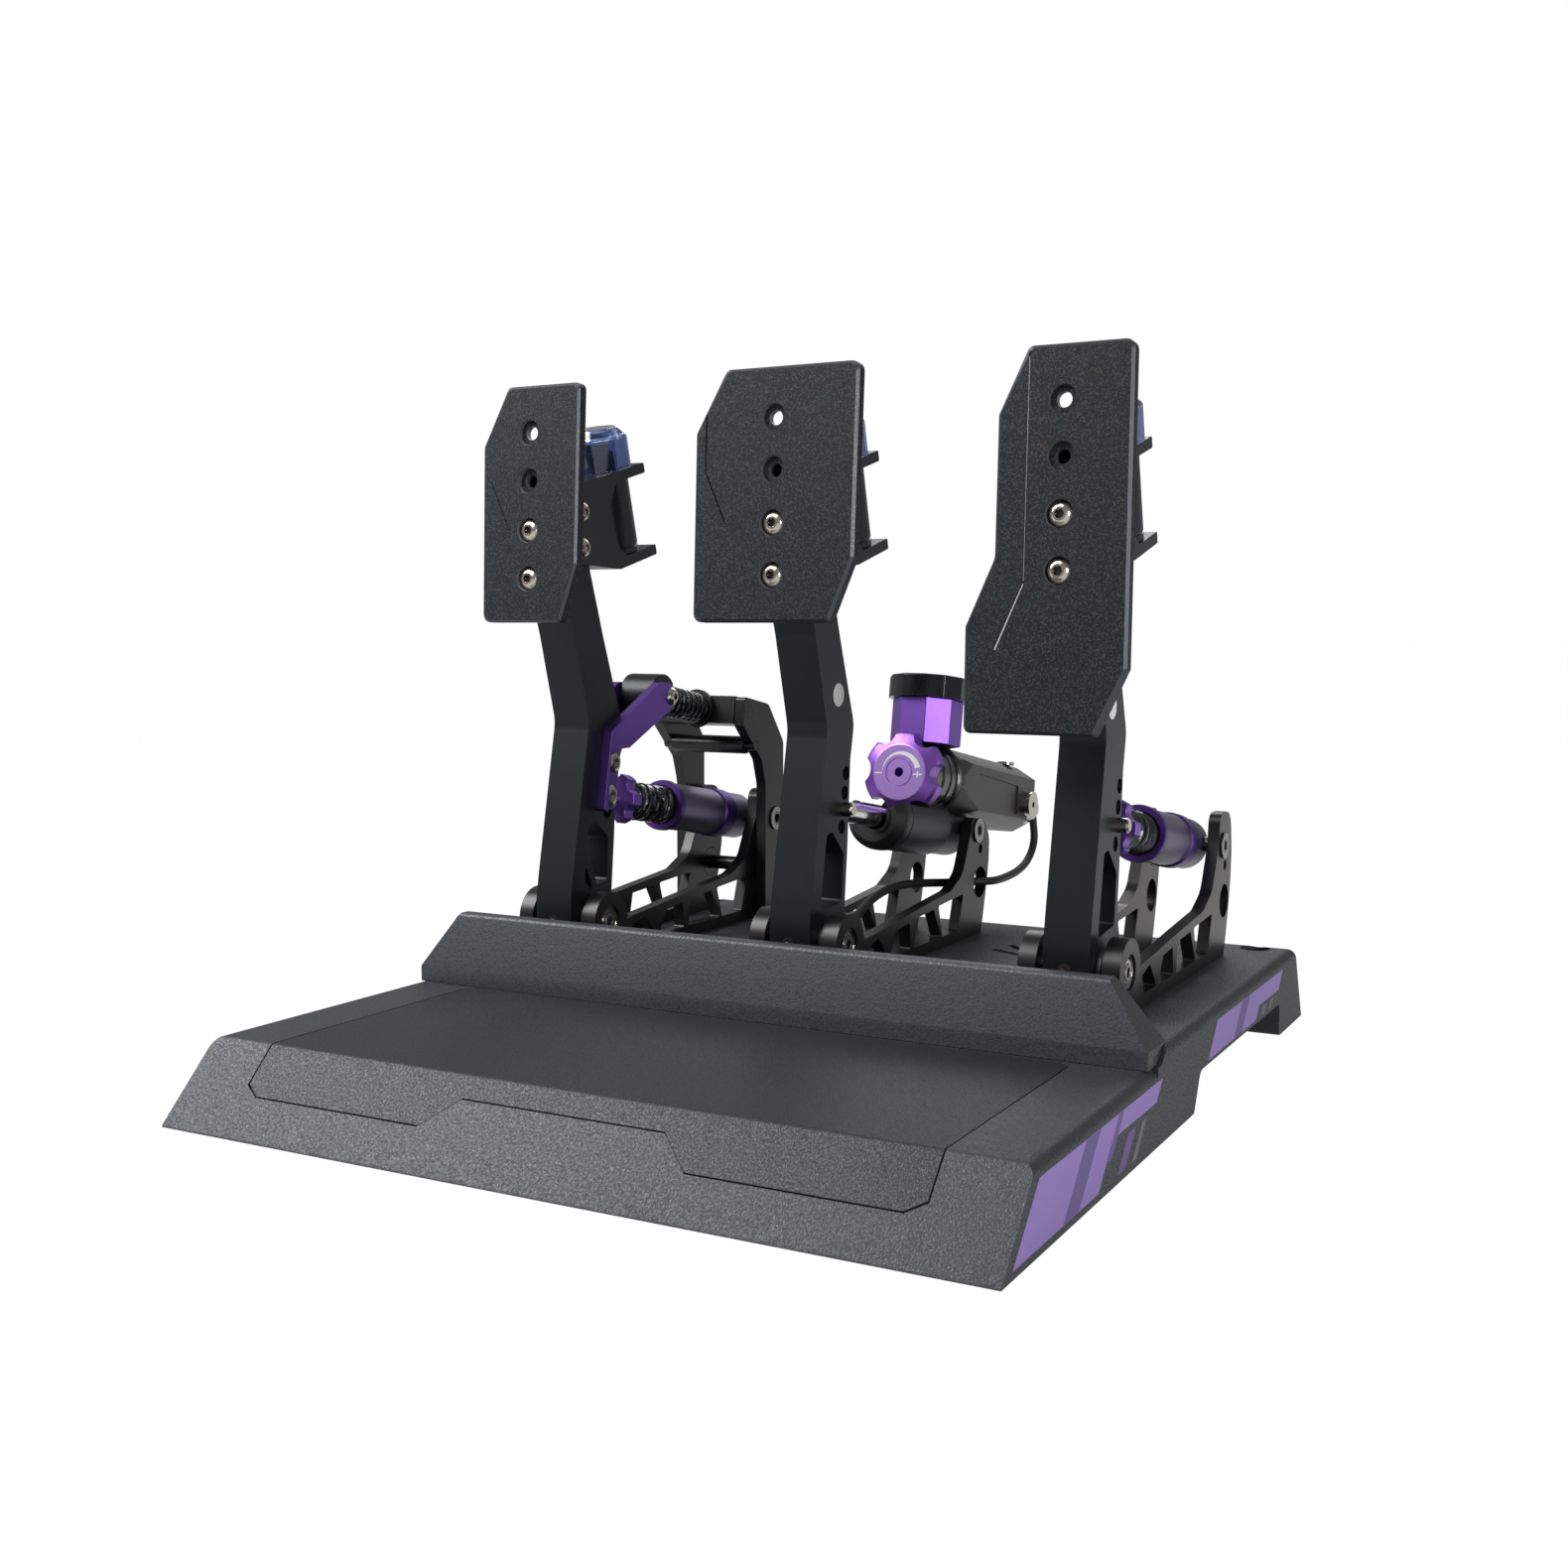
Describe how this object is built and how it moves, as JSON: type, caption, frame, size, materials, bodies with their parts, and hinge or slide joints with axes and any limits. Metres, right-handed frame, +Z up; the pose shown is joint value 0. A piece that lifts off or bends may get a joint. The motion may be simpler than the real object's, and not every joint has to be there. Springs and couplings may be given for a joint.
{
  "type": "sim racing pedal set",
  "caption": "Racing pedal set on a wide moulded base with heel rest: hinged clutch, brake and throttle arms with drilled faces, coil spring units and a hydraulic style brake unit.",
  "frame": {"origin": "on the floor, under the middle of the whole object", "axes": "+X to the driver's right, +Y away from the driver, +Z up"},
  "size_m": [0.37, 0.4738, 0.3228],
  "materials": {
    "base_plastic": "fine-grained satin moulding",
    "heel_sheet": "smooth satin sheet",
    "rubber": "matt",
    "steel_plate": "satin",
    "screw_steel": "bright satin",
    "black_plastic": "matt",
    "black_aluminium": "satin black anodised",
    "face_black": "black anodised with a fine sparkle",
    "motor_black": "satin",
    "blue_cap": "translucent",
    "rod_steel": "polished",
    "purple_aluminium": "satin purple anodised",
    "grey_purple_aluminium": "satin anodised with dark purple bands",
    "spring_steel": "gloss black",
    "brake_grey": "satin dark grey",
    "axle_grey": "satin",
    "cable_black": "matt"
  },
  "bodies": {
    "base": {"base_shell": "base_plastic", "heel_plate": "heel_sheet", "ridge_cover": "base_plastic", "rubber_feet": "rubber", "mounting_plate": "steel_plate", "plate_screws": "screw_steel", "control_box": "black_plastic", "cable_gland": "black_plastic", "pivot_bearings": "screw_steel", "rear_bolts": "screw_steel", "clutch_plate_left": "black_aluminium", "clutch_plate_right": "black_aluminium", "brake_plate_left": "black_aluminium", "brake_plate_right": "black_aluminium", "throttle_plate_left": "black_aluminium", "throttle_plate_right": "black_aluminium", "clutch_frame_left": "black_aluminium", "clutch_frame_right": "black_aluminium", "clutch_cross_bars": "black_aluminium", "sensor_cable": "cable_black"},
    "clutch_pedal": {"clutch_arm": "black_aluminium", "clutch_axle": "axle_grey", "clutch_face": "face_black", "clutch_fasteners": "screw_steel", "clutch_cradle": "black_aluminium", "clutch_motor": "motor_black", "clutch_motor_cap": "blue_cap", "clutch_brackets": "purple_aluminium"},
    "clutch_push_rod": {"clutch_rod": "rod_steel"},
    "clutch_spring_unit": {"clutch_cylinder": "grey_purple_aluminium", "clutch_spring": "spring_steel"},
    "clutch_preload_nut": {"clutch_nut": "purple_aluminium"},
    "brake_pedal": {"brake_arm": "black_aluminium", "brake_axle": "axle_grey", "brake_face": "face_black", "brake_fasteners": "screw_steel", "brake_cradle": "black_aluminium", "brake_motor": "motor_black", "brake_motor_cap": "blue_cap"},
    "brake_push_rod": {"brake_rod": "rod_steel"},
    "brake_pressure_unit": {"brake_cylinder": "brake_grey", "brake_body": "brake_grey", "brake_reservoir": "purple_aluminium", "brake_fittings": "screw_steel"},
    "throttle_pedal": {"throttle_arm": "black_aluminium", "throttle_axle": "axle_grey", "throttle_face": "face_black", "throttle_fasteners": "screw_steel", "throttle_cradle": "black_aluminium", "throttle_motor": "motor_black", "throttle_motor_cap": "blue_cap"},
    "throttle_push_rod": {"throttle_rod": "rod_steel"},
    "throttle_spring_unit": {"throttle_cylinder": "grey_purple_aluminium", "throttle_spring": "spring_steel"},
    "throttle_preload_nut": {"throttle_nut": "purple_aluminium"},
    "pressure_knob": {"brake_knob": "purple_aluminium"},
    "reservoir_lid": {"brake_reservoir_cap": "brake_grey"},
    "clutch_link_rod": {"clutch_link": "black_aluminium"},
    "clutch_link_guide": {"clutch_bar_block": "black_aluminium", "clutch_link_spring": "spring_steel"}
  },
  "joints": [
    {"name": "clutch_pedal_pivot", "type": "hinge", "parent": "base", "child": "clutch_pedal", "pos_m": [-0.134, -0.01509, 0.06], "axis": [-1, 0, 0], "range_deg": [0, 13], "stiffness_Nm_per_rad": 30, "springref_deg": -8.59},
    {"name": "clutch_rod_pivot", "type": "hinge", "parent": "clutch_pedal", "child": "clutch_push_rod", "pos_m": [-0.134, 0.00171, 0.1215], "axis": [1, 0, 0], "range_deg": [0, 14.21]},
    {"name": "clutch_unit_pivot", "type": "hinge", "parent": "base", "child": "clutch_spring_unit", "pos_m": [-0.134, 0.14411, 0.0975], "axis": [1, 0, 0], "range_deg": [0, 1.21], "deforming": ["clutch_spring"]},
    {"name": "clutch_nut_turn", "type": "hinge", "parent": "clutch_push_rod", "child": "clutch_preload_nut", "pos_m": [-0.134, 0.0243, 0.11769], "axis": [0, 0.9861, -0.1662], "range_deg": [-180, 180]},
    {"name": "brake_pedal_pivot", "type": "hinge", "parent": "base", "child": "brake_pedal", "pos_m": [0, -0.01509, 0.06], "axis": [-1, 0, 0], "range_deg": [0, 7.5], "stiffness_Nm_per_rad": 150, "springref_deg": -3.44},
    {"name": "brake_rod_pivot", "type": "hinge", "parent": "brake_pedal", "child": "brake_push_rod", "pos_m": [0, 0.00171, 0.1215], "axis": [1, 0, 0], "range_deg": [0, 8.04]},
    {"name": "brake_unit_pivot", "type": "hinge", "parent": "base", "child": "brake_pressure_unit", "pos_m": [0, 0.14411, 0.0975], "axis": [1, 0, 0], "range_deg": [0, 0.542]},
    {"name": "throttle_pedal_pivot", "type": "hinge", "parent": "base", "child": "throttle_pedal", "pos_m": [0.134, -0.01509, 0.06], "axis": [-1, 0, 0], "range_deg": [0, 14], "stiffness_Nm_per_rad": 20, "springref_deg": -8.59},
    {"name": "throttle_rod_pivot", "type": "hinge", "parent": "throttle_pedal", "child": "throttle_push_rod", "pos_m": [0.134, 0.00171, 0.1215], "axis": [1, 0, 0], "range_deg": [0, 15.35]},
    {"name": "throttle_unit_pivot", "type": "hinge", "parent": "base", "child": "throttle_spring_unit", "pos_m": [0.134, 0.14411, 0.0975], "axis": [1, 0, 0], "range_deg": [0, 1.35], "deforming": ["throttle_spring"]},
    {"name": "throttle_nut_turn", "type": "hinge", "parent": "throttle_push_rod", "child": "throttle_preload_nut", "pos_m": [0.134, 0.0243, 0.11769], "axis": [0, 0.9861, -0.1662], "range_deg": [-180, 180]},
    {"name": "brake_knob_turn", "type": "hinge", "parent": "brake_pressure_unit", "child": "pressure_knob", "pos_m": [0, 0.09408, 0.13159], "axis": [0, 0.9861, -0.1662], "range_deg": [-150, 150]},
    {"name": "reservoir_cap_turn", "type": "hinge", "parent": "brake_pressure_unit", "child": "reservoir_lid", "pos_m": [0, 0.12596, 0.17155], "axis": [0, 0.1662, 0.9861], "range_deg": [0, 90]},
    {"name": "clutch_link_pivot", "type": "hinge", "parent": "clutch_pedal", "child": "clutch_link_rod", "pos_m": [-0.134, 0.05491, 0.1706], "axis": [1, 0, 0], "range_deg": [0, 32.98]},
    {"name": "clutch_guide_pivot", "type": "hinge", "parent": "base", "child": "clutch_link_guide", "pos_m": [-0.134, 0.11411, 0.1604], "axis": [1, 0, 0], "range_deg": [0, 19.98], "deforming": ["clutch_link_spring"]}
  ],
  "couplings": [
    {"joint": "clutch_rod_pivot", "follows": "clutch_pedal_pivot", "ratio": 1.092},
    {"joint": "clutch_unit_pivot", "follows": "clutch_pedal_pivot", "ratio": 0.092},
    {"joint": "brake_rod_pivot", "follows": "brake_pedal_pivot", "ratio": 1.071},
    {"joint": "brake_unit_pivot", "follows": "brake_pedal_pivot", "ratio": 0.071},
    {"joint": "throttle_rod_pivot", "follows": "throttle_pedal_pivot", "ratio": 1.096},
    {"joint": "throttle_unit_pivot", "follows": "throttle_pedal_pivot", "ratio": 0.096},
    {"joint": "clutch_link_pivot", "follows": "clutch_pedal_pivot", "ratio": 2.536},
    {"joint": "clutch_guide_pivot", "follows": "clutch_pedal_pivot", "ratio": 1.536}
  ]
}
